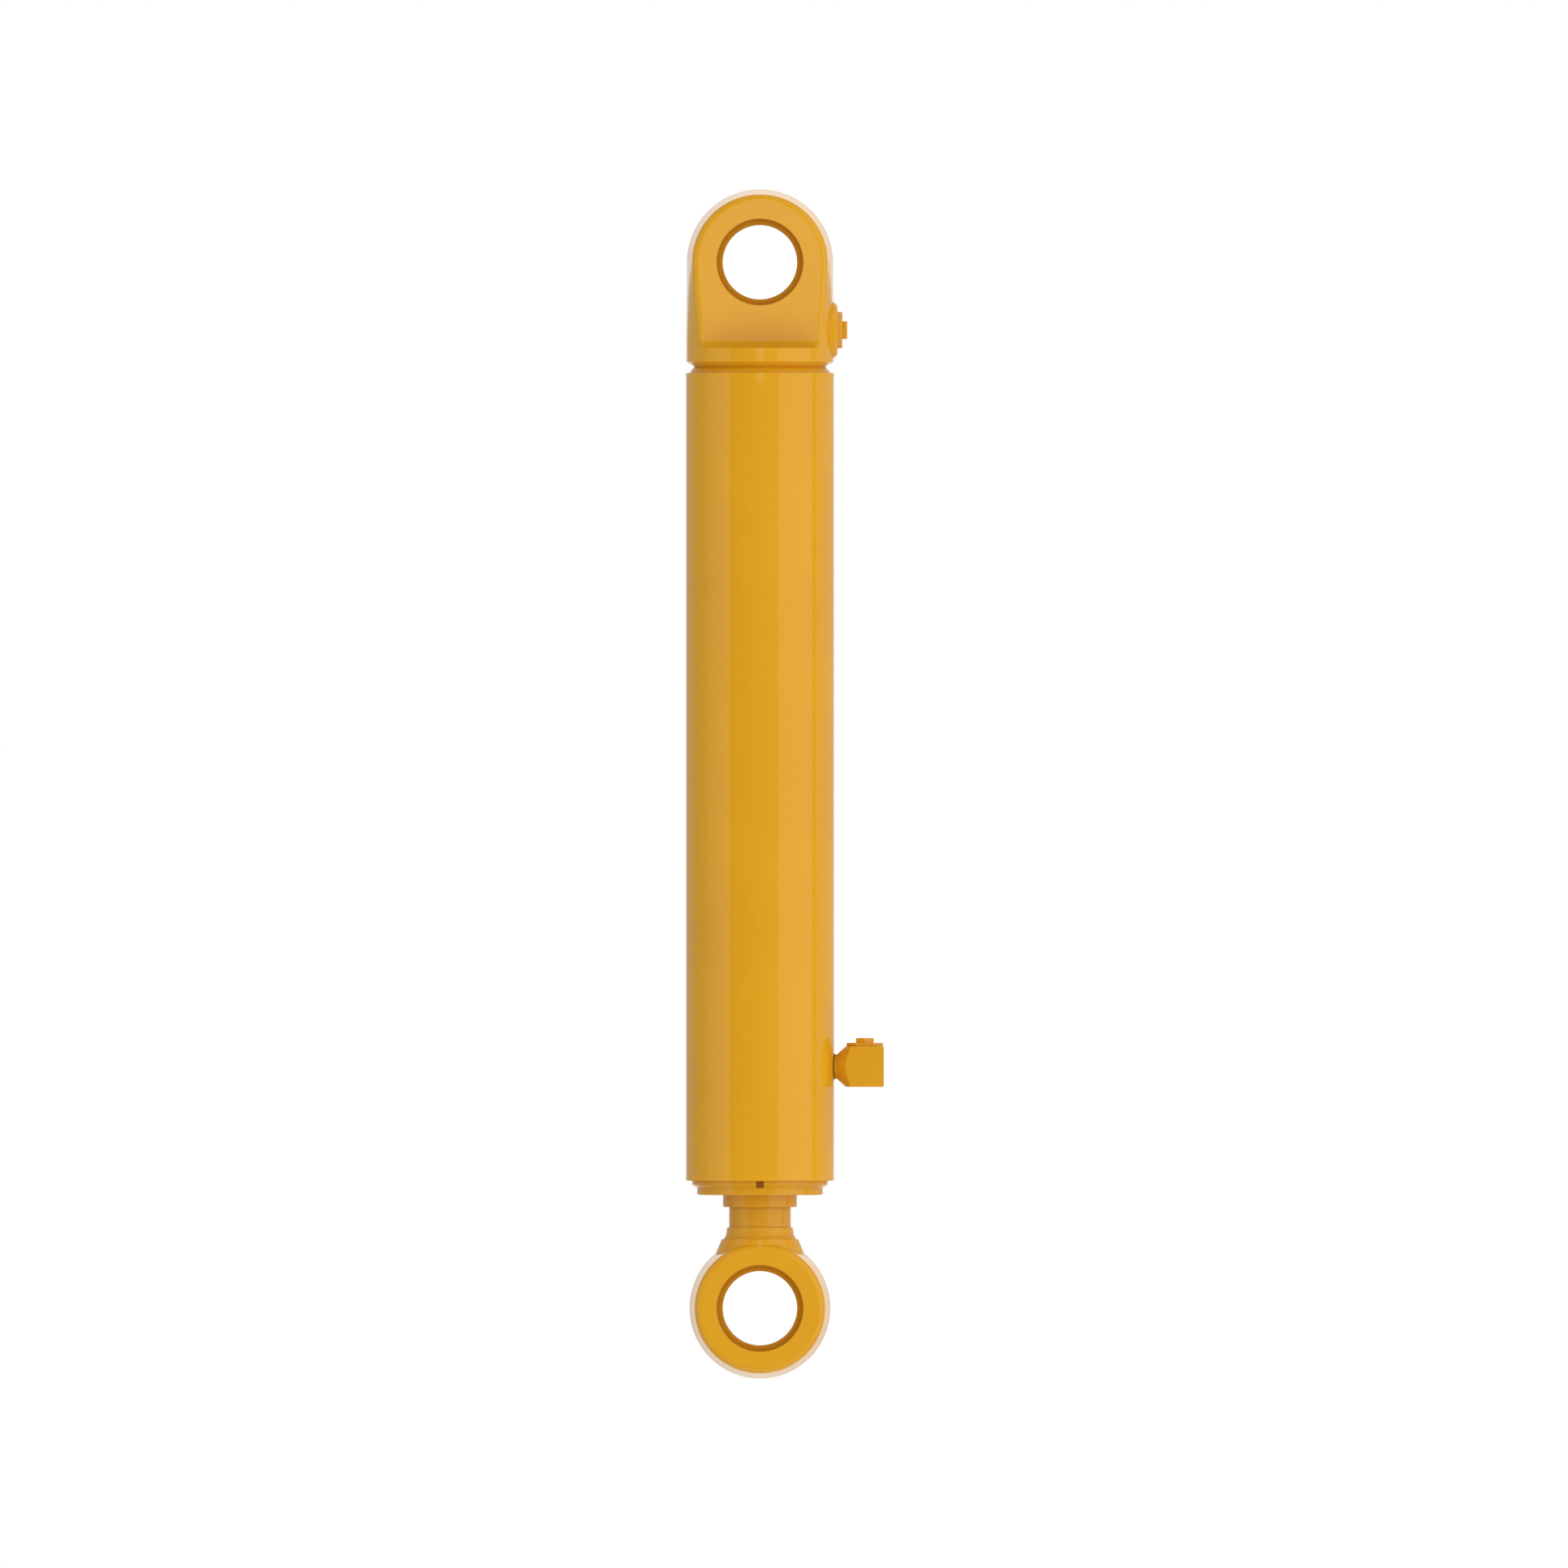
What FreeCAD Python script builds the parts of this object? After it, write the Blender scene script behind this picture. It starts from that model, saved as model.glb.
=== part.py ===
import FreeCAD, Part
import math
import os

# Double-acting hydraulic cylinder with a forged eye at each end, shown fully retracted.
# Row frame: millimetres, +Z up along the cylinder's axis with the cap end on top, the origin at the
# centre of the cap-end pin bore, both pin bores along Y, both oil ports on the +X side.

os.makedirs("parts", exist_ok=True)
V = FreeCAD.Vector

# ---------------------------------------------------------------- driving dimensions
PIN_R = 30.0              # pin bore in each bushing
BUSH_R = 34.5             # eye bore, and the bushing's outside
EYE_HALF = 35.0           # half the width of each eye along the pin
BUSH_HALF = 27.0          # half the length of each bushing: the rest is an open seal recess
PIN_TO_PIN = 843.0        # retracted, cap pin centre to rod pin centre
STROKE = 470.0

TUBE_R = 60.0
BORE_R = 50.0
ROD_R = 25.0
Z_TUBE_TOP = -89.1
Z_TUBE_BOT = -740.3

# cap-end forging
CAP_EYE_R = 58.8          # at the parting plane
CAP_EYE_FACE_R = 54.0     # theoretical corner radius at the flat face
CAP_EDGE_R = 5.0          # rounding of the face's edge
CAP_BASE_R = 59.5
Z_WALL = -69.2            # shelf where the eye's flats end
SHELF_FILLET = 8.0
Z_BASE_BEVEL = -80.2
CAP_ROOT_R = 53.0
Z_ROOT = -84.3
SPIGOT_R = 49.95
Z_SPIGOT = -99.1
NUT_RECESS_R = 34.0
Z_NUT_RECESS = -74.0

# cap port boss, axis along +X
Z_CAP_PORT = -54.6
CAP_BOSS_X = 62.5
CAP_BOSS_R = 20.1
CAP_BOSS_ROOT_R = 22.7

# rod port elbow: 32.6 mm square bar with a turned cone welded to the tube
Z_ROD_PORT = -648.3
ELBOW_HALF = 16.3
ELBOW_X_END = 99.8
ELBOW_NECK_R = 9.5
ELBOW_CONE_X = 61.4
ELBOW_CONE_SLOPE = 0.93
ELBOW_CORNER_SLOPE = 1.5    # steeper where the turning runs out on the bar's corners
ELBOW_WELD_LEG = 0.9
ELBOW_PORT_X = 84.6
SPOTFACE = 1.1
SPOTFACE_R = 15.4

# oil ports: 7/8-14 O-ring boss, closed by a 1 inch hex plug that holds a 9/16 inch hex plug
PORT_R = 10.60
PORT_MOUTH_R = 12.0
PLUG_SHANK_R = 10.55
PLUG_AF = 25.4
PLUG_HEAD = 3.9
BLEED_R = 5.30
BLEED_AF = 14.29
BLEED_HEAD = 3.9
DRILL_R = 6.5

# head gland
GLAND_THREAD_R = 52.4
TUBE_THREAD_R = 52.5
Z_THREAD_TOP = -700.0
Z_GLAND_IN = -664.0
Z_GLAND_STOP = -634.0     # the gland's reduced nose stops the piston short of the rod port
GLAND_STOP_R = 40.0
FLANGE1_R = 55.0
FLANGE2_R = 51.0
Z_FLANGE1_CH = -743.4
Z_FLANGE1_BOT = -745.8
Z_GLAND_FACE = -751.7
NOSE_R = 30.0
Z_NOSE = -761.5
SLOT_W = 6.0
SLOT_FLOOR_R = 49.0

# rod assembly
Z_PISTON_BOT = Z_GLAND_STOP + STROKE + 0.5
PISTON_L = 55.0
Z_PISTON_TOP = Z_PISTON_BOT + PISTON_L
PISTON_R = 49.6
STUD_R = 18.0
NUT_AF = 55.0
NUT_H = 28.0
Z_NUT_TOP = Z_PISTON_TOP + NUT_H
Z_STUD_TOP = Z_NUT_TOP + 3.0

Z_RPIN = -PIN_TO_PIN
ROD_EYE_R = 56.7
ROD_EYE_FACE_R = 51.8
ROD_EDGE_R = 6.0
Z_ROD_EYE_TOP = -787.4
NECK_TOP_R = 31.1
NECK_SLOPE = 0.415


# ---------------------------------------------------------------- helpers
def wire(points):
    """A closed wire. A point is (a, b), or ("arc", mid, end) for an arc from the last point."""
    edges, start, last = [], V(*points[0]), V(*points[0])
    for p in points[1:]:
        if p[0] == "arc":
            edges.append(Part.Arc(last, V(*p[1]), V(*p[2])).toShape())
            last = V(*p[2])
        else:
            q = V(*p)
            if (q - last).Length > 1e-7:
                edges.append(Part.makeLine(last, q))
            last = q
    if (last - start).Length > 1e-7:
        edges.append(Part.makeLine(last, start))
    return Part.Wire(edges)


def rz(points):
    """(radius, z) pairs to points in the XZ plane."""
    out = []
    for p in points:
        if p[0] == "arc":
            out.append(("arc", (p[1][0], 0, p[1][1]), (p[2][0], 0, p[2][1])))
        else:
            out.append((p[0], 0, p[1]))
    return out


def turn_z(points):
    """Solid of revolution about Z from (radius, z) pairs."""
    return Part.Face(wire(rz(points))).revolve(V(0, 0, 0), V(0, 0, 1), 360)


def turn_x(points, z0=0.0):
    """Solid of revolution about the line y = 0, z = z0 along X, from (x, radius) pairs."""
    w = wire([(p[0], 0, z0 + p[1]) if p[0] != "arc" else
              ("arc", (p[1][0], 0, z0 + p[1][1]), (p[2][0], 0, z0 + p[2][1])) for p in points])
    return Part.Face(w).revolve(V(0, 0, z0), V(1, 0, 0), 360)


def turn_port(points, x0):
    """Solid of revolution about the vertical line x = x0, y = 0, from (radius, z) pairs."""
    w = wire([(x0 + p[0], 0, p[1]) for p in points])
    return Part.Face(w).revolve(V(x0, 0, 0), V(0, 0, 1), 360)


def tube_z(r_out, r_in, z_lo, z_hi):
    return turn_z([(r_in, z_lo), (r_out, z_lo), (r_out, z_hi), (r_in, z_hi)])


def cyl_y(r, half, z=0.0):
    return Part.makeCylinder(r, 2 * half, V(0, -half, z), V(0, 1, 0))


def cyl_x(r, x_lo, x_hi, z=0.0):
    return Part.makeCylinder(r, x_hi - x_lo, V(x_lo, 0, z), V(1, 0, 0))


def ring(r_centre, r_section, z):
    return Part.makeTorus(r_centre, r_section, V(0, 0, z), V(0, 0, 1))


def hexagon(af, height, corner_deg, chamfer=0.45, both=False):
    """Hexagonal prism standing on z = 0, a corner at corner_deg, its top corners broken."""
    rc = af / math.sqrt(3.0)
    pts = [(rc * math.cos(math.radians(corner_deg + 60 * i)), rc * math.sin(math.radians(corner_deg + 60 * i)), 0)
           for i in range(6)]
    h = Part.Face(Part.makePolygon([V(*p) for p in pts] + [V(*pts[0])])).extrude(V(0, 0, height))
    c = chamfer
    low = [(0, 0), (rc - c, 0), (rc + 0.02, c * 0.6)] if both else [(0, 0), (rc + 0.02, 0)]
    cone = turn_z(low + [(rc + 0.02, height - c * 0.6), (rc - c, height), (0, height)])
    return h.common(cone)


def tidy(s):
    s = s.removeSplitter()
    solids = s.Solids
    if not solids:
        raise RuntimeError("no solid")
    return solids[0] if len(solids) == 1 else Part.makeCompound(solids)


def save(name, shape):
    if not shape.isValid():
        shape.fix(1e-4, 1e-4, 1e-4)
    shape.exportStep("parts/%s.step" % name)
    print("%-26s solids %d volume %.1f valid %s" % (name, len(shape.Solids), shape.Volume, shape.isValid()))


# ---------------------------------------------------------------- eye sections
def quadrant(xw, xm, yf, r, s):
    """Points of one quadrant of an eye's section: flat at y = yf, an edge rounding r, and a side
    from the theoretical corner (xw, yf) to (xm, 0) that bulges by s."""
    ax, ay, bx, by = xw, yf, xm, 0.0
    length = math.hypot(ax - bx, ay - by)
    rs = (length * length / 4 + s * s) / (2 * s)
    nx, ny = (ay - by) / length, -(ax - bx) / length
    cx, cy = (ax + bx) / 2 - nx * (rs - s), (ay + by) / 2 - ny * (rs - s)
    yc = yf - r
    xc = cx + math.sqrt((rs - r) ** 2 - (yc - cy) ** 2)
    d = math.hypot(xc - cx, yc - cy)
    tx, ty = cx + (xc - cx) / d * rs, cy + (yc - cy) / d * rs
    a0, a1 = math.pi / 2, math.atan2(ty - yc, tx - xc)
    am = (a0 + a1) / 2
    fm = (xc + r * math.cos(am), yc + r * math.sin(am))
    b0, b1 = math.atan2(ty - cy, tx - cx), math.atan2(by - cy, bx - cx)
    bm = (b0 + b1) / 2
    sm = (cx + rs * math.cos(bm), cy + rs * math.sin(bm))
    return (xc, yf), fm, (tx, ty), sm, (bx, by)


def eye_section(z, xw, xm, yf, r, s):
    """The eye's closed section in the plane z."""
    f, fm, t, sm, b = quadrant(xw, xm, yf, r, s)
    P = lambda p, sx, sy: (sx * p[0], sy * p[1], z)
    pts = [P(f, -1, 1), P(f, 1, 1),
           ("arc", P(fm, 1, 1), P(t, 1, 1)), ("arc", P(sm, 1, 1), P(b, 1, 1)),
           ("arc", P(sm, 1, -1), P(t, 1, -1)), ("arc", P(fm, 1, -1), P(f, 1, -1)),
           P(f, -1, -1),
           ("arc", P(fm, -1, -1), P(t, -1, -1)), ("arc", P(sm, -1, -1), P(b, -1, -1)),
           ("arc", P(sm, -1, 1), P(t, -1, 1)), ("arc", P(fm, -1, 1), P(f, -1, 1))]
    return wire(pts)


def eye_disc(xw, xm, yf, r, z0, degrees):
    """The eye's drafted, edge-rounded disc, turned about the pin's axis at height z0."""
    f, fm, t, sm, b = quadrant(xw, xm, yf, r, 0.01)
    P = lambda p, sy: (p[0], sy * p[1], z0)
    if degrees < 360:
        w = wire([(0, yf, z0), P(f, 1), ("arc", P(fm, 1), P(t, 1)), ("arc", P(sm, 1), P(b, 1)),
                  ("arc", P(sm, -1), P(t, -1)), ("arc", P(fm, -1), P(f, -1)), (0, -yf, z0)])
    else:
        w = wire([(0, yf, z0), P(f, 1), ("arc", P(fm, 1), P(t, 1)), P(b, 1), P(t, -1),
                  ("arc", P(fm, -1), P(f, -1)), (0, -yf, z0)])
    return Part.Face(w).revolve(V(0, 0, z0), V(0, -1, 0), degrees)


# ================================================================ barrel
# cap-end forging: eye, shelf, weld prep, spigot, port boss
def corner_half_width(z):
    a = -z
    full = math.sqrt(CAP_BASE_R ** 2 - EYE_HALF ** 2)
    span = -Z_WALL - 8.0
    slope = (CAP_EYE_FACE_R - full) / (span - 7.0)
    eased = a - 7.0 * (1 - math.exp(-a / 7.0))
    return max(full, CAP_EYE_FACE_R - slope * eased)


z_fillet = Z_WALL + SHELF_FILLET
full_corner = math.sqrt(CAP_BASE_R ** 2 - EYE_HALF ** 2)
chord = math.hypot(CAP_BASE_R - full_corner, EYE_HALF)
full_bulge = CAP_BASE_R - math.sqrt(CAP_BASE_R ** 2 - chord ** 2 / 4)
sections = []
for z, r in ((0.0, 5.0), (-8.0, 5.0), (-18.0, 5.0), (-32.0, 5.0), (-46.0, 4.4), (-55.0, 2.8), (z_fillet, 1.2)):
    u = min(1.0, -z / -z_fillet)
    sections.append(eye_section(z, corner_half_width(z) if z > z_fillet else full_corner,
                                CAP_EYE_R + (CAP_BASE_R - CAP_EYE_R) * u, EYE_HALF, r,
                                0.01 + (full_bulge - 0.01) * u))
neck = Part.makeLoft(sections, True, False)
foot = Part.Face(sections[-1]).extrude(V(0, 0, Z_WALL - z_fillet - 1.0))
upper = eye_disc(CAP_EYE_FACE_R, CAP_EYE_R, EYE_HALF, CAP_EDGE_R, 0.0, 180)
if upper.BoundBox.ZMax < 1.0:
    upper = upper.mirror(V(0, 0, 0), V(0, 0, 1))

yo = EYE_HALF + SHELF_FILLET
am = math.radians(225)
shelf = None
for sy in (1, -1):
    mid = (0, sy * (yo + SHELF_FILLET * math.cos(am)), z_fillet + SHELF_FILLET * math.sin(am))
    w = wire([(0, sy * (EYE_HALF - 1.0), z_fillet), (0, sy * EYE_HALF, z_fillet),
              ("arc", mid, (0, sy * yo, Z_WALL)), (0, sy * yo, Z_WALL - 1.0), (0, sy * (EYE_HALF - 1.0), Z_WALL - 1.0)])
    bar = Part.Face(w).extrude(V(130, 0, 0))
    bar.translate(V(-65, 0, 0))
    bar = bar.common(Part.makeCylinder(CAP_BASE_R, 30, V(0, 0, Z_WALL - 5), V(0, 0, 1)))
    shelf = bar if shelf is None else shelf.fuse(bar)

base = turn_z([(0, Z_WALL), (CAP_BASE_R, Z_WALL), (CAP_BASE_R, Z_BASE_BEVEL), (CAP_ROOT_R, Z_ROOT),
               (SPIGOT_R, Z_ROOT), (SPIGOT_R, Z_SPIGOT + 1.0), (SPIGOT_R - 1.0, Z_SPIGOT), (0, Z_SPIGOT)])
boss = turn_x([(30, 0), (30, CAP_BOSS_ROOT_R + 1.2), (56.6, CAP_BOSS_ROOT_R + 0.6), (CAP_BOSS_X - 2.6, CAP_BOSS_ROOT_R),
               (CAP_BOSS_X, CAP_BOSS_R), (CAP_BOSS_X, 0)], Z_CAP_PORT)
cap = neck.fuse([upper, foot, shelf, base, boss]).removeSplitter()

cap = cap.cut(cyl_y(BUSH_R, EYE_HALF + 5))
# a light break where the eye bore meets each face
for sy in (1, -1):
    w = wire([(0, sy * (EYE_HALF + 1), 0), (BUSH_R + 1.6, sy * (EYE_HALF + 1), 0), (BUSH_R - 0.6, sy * (EYE_HALF - 1.2), 0),
              (0, sy * (EYE_HALF - 1.2), 0)])
    cap = cap.cut(Part.Face(w).revolve(V(0, 0, 0), V(0, 1, 0), 360))
cap = cap.cut(turn_z([(0, Z_SPIGOT - 1), (NUT_RECESS_R + 1.5, Z_SPIGOT - 1), (NUT_RECESS_R, Z_SPIGOT + 1.5),
                      (NUT_RECESS_R, Z_NUT_RECESS - 1.5), (NUT_RECESS_R - 1.5, Z_NUT_RECESS), (0, Z_NUT_RECESS)]))
cap = cap.cut(Part.makeCylinder(DRILL_R, Z_CAP_PORT - Z_NUT_RECESS + 2, V(0, 0, Z_NUT_RECESS - 1), V(0, 0, 1)))
port_x = [(CAP_BOSS_X + 1, 0), (CAP_BOSS_X + 1, PORT_MOUTH_R + 0.2), (CAP_BOSS_X, PORT_MOUTH_R),
          (CAP_BOSS_X - 2.6, PORT_R), (CAP_BOSS_X - 20.0, PORT_R), (CAP_BOSS_X - 24.0, DRILL_R), (0, DRILL_R), (0, 0)]
cap = cap.cut(turn_x(port_x, Z_CAP_PORT))
cap = cap.cut(Part.makeSphere(DRILL_R, V(0, 0, Z_CAP_PORT)))
save("cap_end_eye", tidy(cap))

save("cap_eye_bushing", tidy(Part.Face(wire([
    (PIN_R, BUSH_HALF - 1.0, 0), (PIN_R + 1.0, BUSH_HALF, 0), (BUSH_R, BUSH_HALF, 0),
    (BUSH_R, -BUSH_HALF, 0), (PIN_R + 1.0, -BUSH_HALF, 0), (PIN_R, -BUSH_HALF + 1.0, 0)])).revolve(
        V(0, 0, 0), V(0, 1, 0), 360)))

# root weld between the forging and the tube
save("cap_weld", tidy(turn_z([(SPIGOT_R, Z_ROOT), (CAP_ROOT_R, Z_ROOT), (CAP_ROOT_R + 0.15, Z_ROOT - 0.3),
                              ("arc", (54.75, -86.55), (56.7, Z_TUBE_TOP)), (SPIGOT_R, Z_TUBE_TOP)])))

# barrel tube, threaded for the gland, drilled for the rod-end port
tube = turn_z([(BORE_R, Z_TUBE_TOP), (TUBE_R - 0.3, Z_TUBE_TOP), (TUBE_R, Z_TUBE_TOP - 0.3),
               (TUBE_R, Z_TUBE_BOT + 0.4), (TUBE_R - 0.4, Z_TUBE_BOT), (TUBE_THREAD_R + 0.8, Z_TUBE_BOT),
               (TUBE_THREAD_R, Z_TUBE_BOT + 0.8), (TUBE_THREAD_R, Z_THREAD_TOP), (BORE_R, Z_THREAD_TOP + 4.0)])
tube = tube.cut(cyl_x(DRILL_R, 40, 70, Z_ROD_PORT))
save("barrel_tube", tidy(tube))

# rod port elbow
e_lo, e_hi = Z_ROD_PORT - ELBOW_HALF, Z_ROD_PORT + ELBOW_HALF
elbow = Part.makeBox(ELBOW_X_END - 40, 2 * ELBOW_HALF, 2 * ELBOW_HALF, V(40, -ELBOW_HALF, e_lo))
elbow = elbow.makeChamfer(0.6, [e for e in elbow.Edges if abs(e.BoundBox.XMin - ELBOW_X_END) < 1e-6])
x_corner = ELBOW_CONE_X + (ELBOW_HALF + 0.3 - ELBOW_NECK_R) / ELBOW_CONE_SLOPE
r_far = ELBOW_HALF + 0.3 + 8 * ELBOW_CORNER_SLOPE
turned = turn_x([(40, 0), (40, ELBOW_NECK_R), (ELBOW_CONE_X, ELBOW_NECK_R), (x_corner, ELBOW_HALF + 0.3),
                 (x_corner + 8, r_far), (ELBOW_X_END + 5, r_far), (ELBOW_X_END + 5, 0)], Z_ROD_PORT)
elbow = elbow.common(turned)
elbow = elbow.cut(Part.makeCylinder(TUBE_R, 80, V(0, 0, Z_ROD_PORT - 40), V(0, 0, 1)))
elbow = elbow.cut(cyl_x(DRILL_R, 40, ELBOW_PORT_X, Z_ROD_PORT))
spot = e_hi - SPOTFACE
elbow = elbow.cut(turn_port([(0, e_hi + 1), (SPOTFACE_R, e_hi + 1), (SPOTFACE_R, spot), (PORT_MOUTH_R, spot), (PORT_R, spot - 2.6),
                             (PORT_R, spot - 22.0), (DRILL_R, spot - 24.5), (0, spot - 24.5)], ELBOW_PORT_X))
save("rod_port_elbow", tidy(elbow))

# fillet weld round the elbow's neck
weld = turn_x([(57, ELBOW_NECK_R), (57, ELBOW_NECK_R + ELBOW_WELD_LEG + 0.1), (60.2, ELBOW_NECK_R + ELBOW_WELD_LEG),
               (60.9, ELBOW_NECK_R + 0.5), (ELBOW_CONE_X, ELBOW_NECK_R)], Z_ROD_PORT)
weld = weld.cut(Part.makeCylinder(TUBE_R, 80, V(0, 0, Z_ROD_PORT - 40), V(0, 0, 1)))
save("rod_port_weld", tidy(weld))


# port plugs, drawn with the head's underside on z = 0 and the shank below
def reducer_plug():
    head = hexagon(PLUG_AF, PLUG_HEAD, 0.0)
    shank = turn_z([(0, 0), (9.7, 0), (9.7, -2.9), (PLUG_SHANK_R, -3.4), (PLUG_SHANK_R, -9.6), (PLUG_SHANK_R - 0.8, -10.4), (0, -10.4)])
    body = head.fuse(shank).removeSplitter()
    hole = turn_z([(0, PLUG_HEAD + 1), (6.3, PLUG_HEAD + 1), (6.3, PLUG_HEAD), (BLEED_R + 0.05, PLUG_HEAD - 1.9),
                   (BLEED_R + 0.05, -8.0), (2.0, -9.4), (2.0, -12), (0, -12)])
    return body.cut(hole)


def bleed_plug():
    head = hexagon(BLEED_AF, BLEED_HEAD, 30.0)
    shank = turn_z([(0, 0), (4.45, 0), (4.45, -2.1), (BLEED_R, -2.5), (BLEED_R, -8.2), (BLEED_R - 0.6, -8.8), (0, -8.8)])
    body = head.fuse(shank).removeSplitter()
    body.translate(V(0, 0, PLUG_HEAD))
    return body


def port_ring():
    return Part.makeTorus(9.7 + 0.72, 0.70, V(0, 0, -1.1), V(0, 0, 1))


def bleed_ring():
    return Part.makeTorus(4.45 + 0.50, 0.48, V(0, 0, PLUG_HEAD - 1.0), V(0, 0, 1))


def to_elbow(s):
    s = s.copy()
    s.translate(V(ELBOW_PORT_X, 0, spot))
    return s


def to_cap(s):
    s = s.copy()
    s.rotate(V(0, 0, 0), V(0, 1, 0), 90)
    s.translate(V(CAP_BOSS_X, 0, Z_CAP_PORT))
    return s


for label, place in (("cap_port", to_cap), ("rod_port", to_elbow)):
    save(label + "_plug", tidy(place(reducer_plug())))
    save(label + "_plug_seal", tidy(place(port_ring())))
    save(label + "_test_plug", tidy(place(bleed_plug())))
    save(label + "_test_plug_seal", tidy(place(bleed_ring())))

# head gland: thread, wrench flange with four hook-spanner slots, nose round the rod
gland = turn_z([
    (26.4, Z_GLAND_STOP), (GLAND_STOP_R - 1.5, Z_GLAND_STOP), (GLAND_STOP_R, Z_GLAND_STOP - 1.5),
    (GLAND_STOP_R, Z_GLAND_IN - 1.0), (47.0, Z_GLAND_IN - 1.0), (49.9, Z_GLAND_IN - 4.0),
    (49.9, -680.0), (46.35, -680.0), (46.35, -687.2), (49.9, -687.2),
    (49.9, Z_THREAD_TOP - 1.0), (GLAND_THREAD_R - 1.5, Z_THREAD_TOP - 1.0), (GLAND_THREAD_R, Z_THREAD_TOP - 2.5),
    (GLAND_THREAD_R, -735.6), (50.6, -735.9), (50.6, -738.6), (GLAND_THREAD_R, -738.9),
    (GLAND_THREAD_R, Z_TUBE_BOT), (FLANGE1_R - 0.3, Z_TUBE_BOT), (FLANGE1_R, Z_TUBE_BOT - 0.3),
    (FLANGE1_R, Z_FLANGE1_CH), (FLANGE2_R + 1.0, Z_FLANGE1_BOT), (FLANGE2_R, Z_FLANGE1_BOT),
    (FLANGE2_R, Z_GLAND_FACE + 0.6), (FLANGE2_R - 0.6, Z_GLAND_FACE),
    (NOSE_R, Z_GLAND_FACE), (NOSE_R, Z_NOSE + 0.5), (NOSE_R - 0.5, Z_NOSE),
    (26.9, Z_NOSE), (26.9, Z_NOSE + 1.4), (28.7, Z_NOSE + 1.4), (28.7, Z_NOSE + 8.4), (25.6, Z_NOSE + 8.4),
    (25.6, -741.0), (32.5, -741.0), (32.5, -729.0), (25.4, -729.0),
    (25.4, -721.5), (32.6, -721.5), (32.6, -715.2), (25.4, -715.2),
    (25.4, -709.0), (27.5, -709.0), (27.5, -679.0), (25.4, -679.0), (25.4, Z_GLAND_STOP - 1.0)])
for k in range(4):
    notch = Part.makeBox(SLOT_W, 12.0, Z_TUBE_BOT - Z_FLANGE1_BOT, V(-SLOT_W / 2, -SLOT_FLOOR_R - 12.0, Z_FLANGE1_BOT))
    notch.rotate(V(0, 0, 0), V(0, 0, 1), 90 * k)
    gland = gland.cut(notch)
save("head_gland", tidy(gland))

save("gland_o_ring", tidy(ring(48.16, 1.77, -682.0)))
save("gland_backup_ring", tidy(tube_z(49.85, 46.4, -687.1, -684.4)))
save("gland_dust_o_ring", tidy(ring(51.45, 0.82, -737.25)))
save("rod_bearing", tidy(tube_z(27.48, ROD_R + 0.04, -708.9, -679.1)))
save("rod_buffer_ring", tidy(turn_z([(25.05, -716.6), (25.05, -720.2), (26.2, -721.4), (29.0, -721.4), (29.0, -715.3), (26.2, -715.3)])))
save("rod_buffer_energizer", tidy(ring(30.82, 1.76, -718.35)))
save("rod_u_cup", tidy(turn_z([(25.06, -739.4), (25.4, -740.9), (32.4, -740.9), (32.4, -730.6), (31.2, -729.1), (30.3, -729.3),
                               (29.2, -733.8), (28.3, -733.8), (27.2, -729.3), (26.3, -729.1), (25.06, -730.8)])))
save("rod_wiper", tidy(turn_z([(25.9, Z_NOSE + 8.3), (28.6, Z_NOSE + 8.3), (28.6, Z_NOSE + 1.5), (26.8, Z_NOSE + 1.5),
                               (26.4, Z_NOSE + 0.3), (25.05, Z_NOSE + 0.6), (25.05, Z_NOSE + 1.6), (26.1, Z_NOSE + 4.0),
                               (25.05, Z_NOSE + 6.6), (25.05, Z_NOSE + 7.4)])))

# ================================================================ rod assembly
rod = turn_z([(0, Z_ROD_EYE_TOP), (ROD_R, Z_ROD_EYE_TOP), (ROD_R, Z_PISTON_BOT), (STUD_R, Z_PISTON_BOT),
              (STUD_R, Z_STUD_TOP - 2.0), (STUD_R - 2.0, Z_STUD_TOP), (0, Z_STUD_TOP)])
pocket = Part.makeCylinder(5.0, 12.0, V(0, 0, Z_STUD_TOP - 12.0), V(0, 0, 1))
save("piston_rod", tidy(rod.cut(pocket)))

piston = turn_z([
    (STUD_R, Z_PISTON_BOT), (46.0, Z_PISTON_BOT), (PISTON_R, Z_PISTON_BOT + 2.5),
    (PISTON_R, Z_PISTON_BOT + 5.0), (47.45, Z_PISTON_BOT + 5.0), (47.45, Z_PISTON_BOT + 17.0), (PISTON_R, Z_PISTON_BOT + 17.0),
    (PISTON_R, Z_PISTON_BOT + 23.5), (42.3, Z_PISTON_BOT + 23.5), (42.3, Z_PISTON_BOT + 31.6), (PISTON_R, Z_PISTON_BOT + 31.6),
    (PISTON_R, Z_PISTON_TOP - 17.0), (47.45, Z_PISTON_TOP - 17.0), (47.45, Z_PISTON_TOP - 5.0), (PISTON_R, Z_PISTON_TOP - 5.0),
    (PISTON_R, Z_PISTON_TOP - 2.5), (46.0, Z_PISTON_TOP), (STUD_R, Z_PISTON_TOP),
    (STUD_R, Z_PISTON_BOT + 12.0), (20.75, Z_PISTON_BOT + 12.0), (20.75, Z_PISTON_BOT + 8.4), (STUD_R, Z_PISTON_BOT + 8.4)])
save("piston", tidy(piston))
save("piston_static_o_ring", tidy(ring(19.38, 1.34, Z_PISTON_BOT + 10.2)))

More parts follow.
